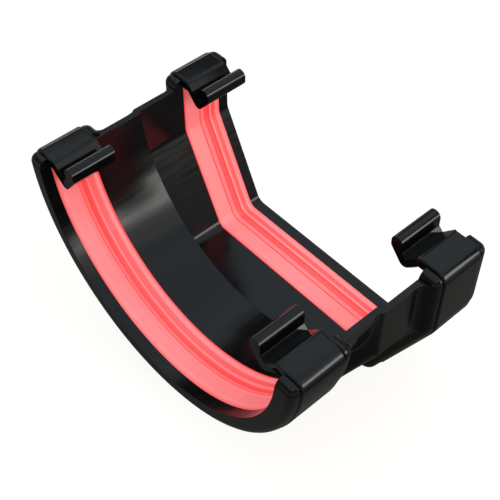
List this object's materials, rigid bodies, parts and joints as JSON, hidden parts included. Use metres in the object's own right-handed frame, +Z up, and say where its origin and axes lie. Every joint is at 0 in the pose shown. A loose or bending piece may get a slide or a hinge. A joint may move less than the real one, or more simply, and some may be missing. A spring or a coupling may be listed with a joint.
{
  "type": "gutter adaptor",
  "caption": "Trough-shaped adaptor that joins a half-round gutter to a square one, with a ribbed rubber seal and snap clips in each open-topped socket.",
  "frame": {"origin": "centre of the bounding box's underside: on the mirror plane, midway between the two mouths, at the height of the square socket's underside", "axes": "+X across the gutter, +Y along it from the half-round mouth to the square mouth, +Z up out of the open channel"},
  "size_m": [0.1302, 0.0824, 0.072],
  "materials": {
    "black_plastic": "glossy, with faint moulding streaks",
    "coral_rubber": "satin"
  },
  "bodies": {
    "root": {"body": "black_plastic", "half_round_seal": "coral_rubber", "square_seal": "coral_rubber", "half_round_clip_left": "black_plastic", "half_round_clip_right": "black_plastic", "square_clip_left": "black_plastic", "square_clip_right": "black_plastic"}
  },
  "joints": []
}
